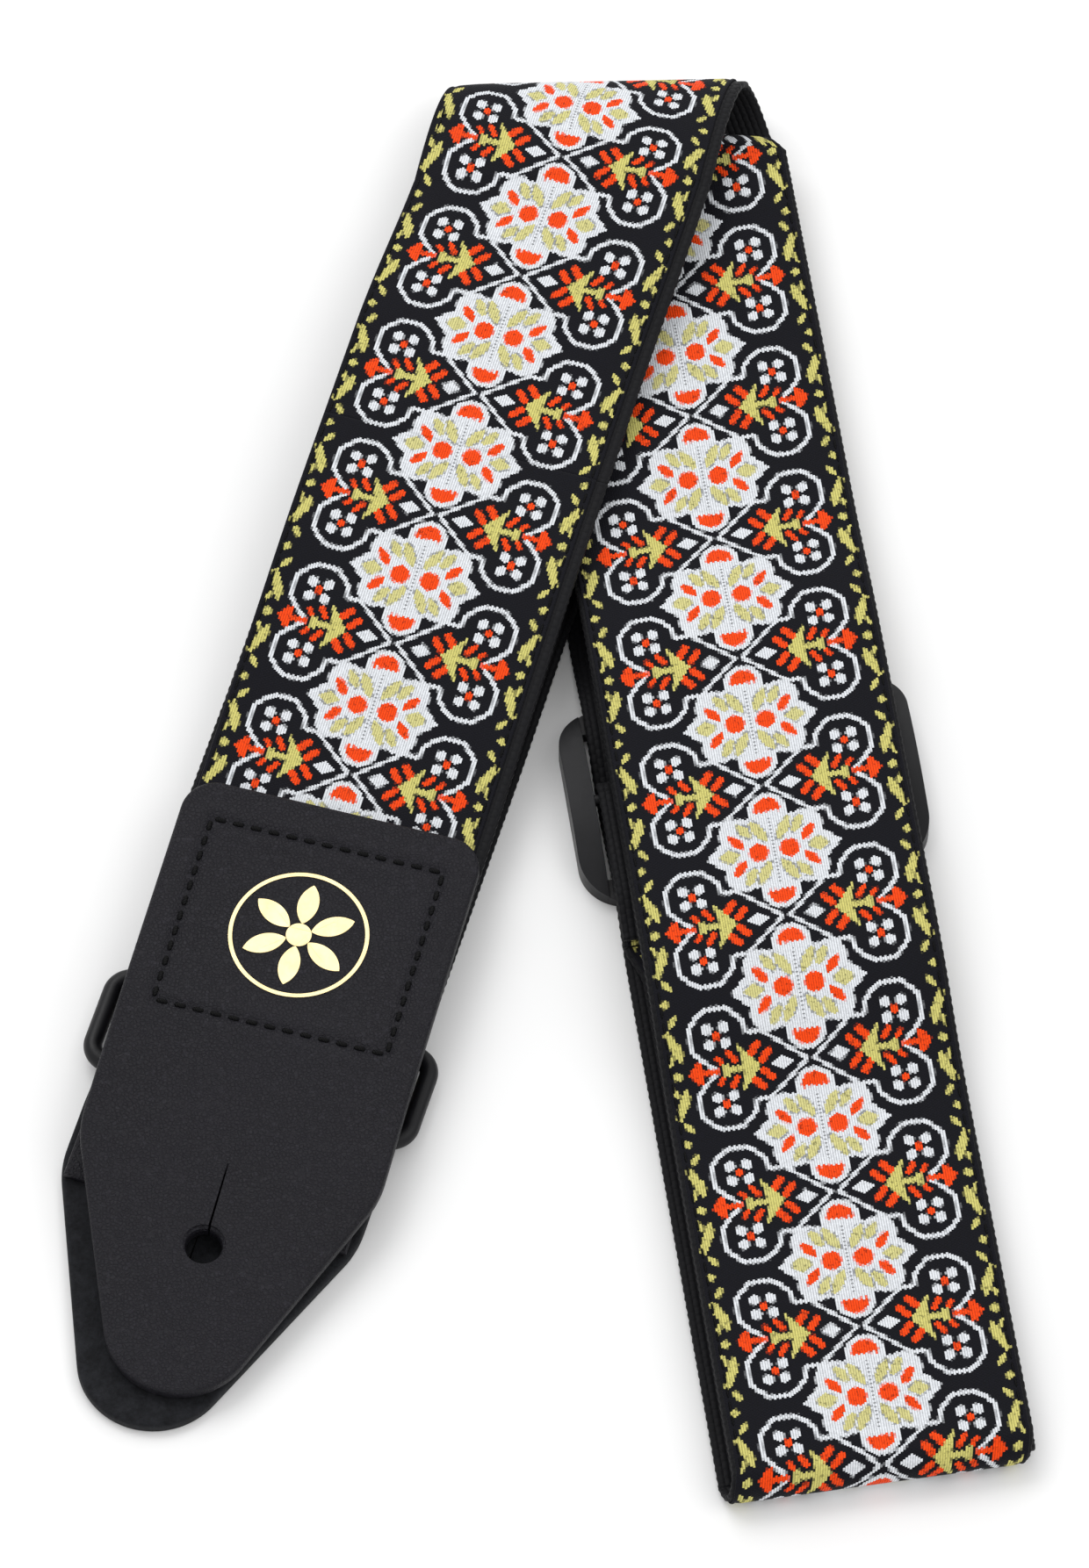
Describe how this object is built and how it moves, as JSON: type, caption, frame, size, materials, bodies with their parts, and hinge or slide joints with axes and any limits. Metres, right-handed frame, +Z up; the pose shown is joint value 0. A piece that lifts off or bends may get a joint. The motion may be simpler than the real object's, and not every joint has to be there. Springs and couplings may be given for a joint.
{
  "type": "guitar strap",
  "caption": "Two inch woven jacquard guitar strap with leather button ends, end loop and length slider, folded in four for display.",
  "frame": {"origin": "on the table, under the centre of the folded strap's bounding box", "axes": "+Z up from the table, +Y towards the top fold, +X towards the right leg"},
  "size_m": [0.1626, 0.2756, 0.0153],
  "materials": {
    "webbing": "ribbed polypropylene weave",
    "jacquard": "woven jacquard, multicolour on black",
    "thread": "polyester thread",
    "leather": "fine matte grain",
    "plastic": "moulded matte",
    "gold_foil": "hot-stamped foil"
  },
  "bodies": {
    "folded_strap": {"webbing_top_fold": "webbing", "jacquard_top_fold": "jacquard", "webbing_lower_run": "webbing", "jacquard_lower_run": "jacquard", "webbing_slider_wave": "webbing", "jacquard_slider_wave": "jacquard", "webbing_lower_end": "webbing", "jacquard_lower_end": "jacquard", "webbing_bottom_fold": "webbing", "jacquard_bottom_fold": "jacquard", "webbing_upper_run": "webbing", "jacquard_upper_run": "jacquard", "seams_upper_run": "thread", "webbing_inner_fold": "webbing", "jacquard_inner_fold": "jacquard", "webbing_back_run": "webbing", "jacquard_back_run": "jacquard", "webbing_loop_bight": "webbing", "jacquard_loop_bight": "jacquard", "webbing_tail_back": "webbing", "jacquard_tail_back": "jacquard", "webbing_tail_inner_fold": "webbing", "jacquard_tail_inner_fold": "jacquard", "webbing_tail_upper": "webbing", "jacquard_tail_upper": "jacquard", "webbing_tail_bottom_fold": "webbing", "jacquard_tail_bottom_fold": "jacquard", "webbing_tail_lower": "webbing", "jacquard_tail_lower": "jacquard"},
    "front_run": {"webbing_front_run": "webbing", "jacquard_front_run": "jacquard", "seams_front_run": "thread"},
    "front_end": {"webbing_front_end": "webbing", "jacquard_front_end": "jacquard", "front_leather_end": "leather", "front_box_stitching": "thread", "front_foil_ornament": "gold_foil"},
    "slider": {"slider_frame": "plastic", "webbing_tail_hem": "webbing", "jacquard_tail_hem": "jacquard", "tail_hem_stitching": "thread"},
    "loop": {"strap_loop": "plastic"},
    "back_end": {"back_leather_end": "leather", "back_leather_stitching": "thread"}
  },
  "joints": [
    {"name": "top_fold_open", "type": "hinge", "parent": "folded_strap", "child": "front_run", "pos_m": [0.0121, 0.12835, 0.0152], "axis": [-0.9977, 0.0671, 0], "range_deg": [0, 90]},
    {"name": "front_end_bend", "type": "hinge", "parent": "front_run", "child": "front_end", "pos_m": [-0.0351, -0.01024, 0.009], "axis": [-0.9593, 0.2823, 0], "range_deg": [0, 75]},
    {"name": "slider_slide", "type": "slide", "parent": "folded_strap", "child": "slider", "axis": [0.1513, -0.9885, 0], "range_m": [-0.008, 0.02], "deforming": ["webbing_slider_wave", "jacquard_slider_wave", "webbing_tail_lower", "jacquard_tail_lower"]},
    {"name": "loop_swing", "type": "hinge", "parent": "folded_strap", "child": "loop", "pos_m": [-0.04549, -0.04698, 0.0035], "axis": [-0.9553, 0.2957, 0], "range_deg": [-80, 0]},
    {"name": "back_end_swing", "type": "hinge", "parent": "loop", "child": "back_end", "pos_m": [-0.05046, -0.06303, 0.0035], "axis": [-0.9553, 0.2957, 0], "range_deg": [-80, 0]}
  ]
}
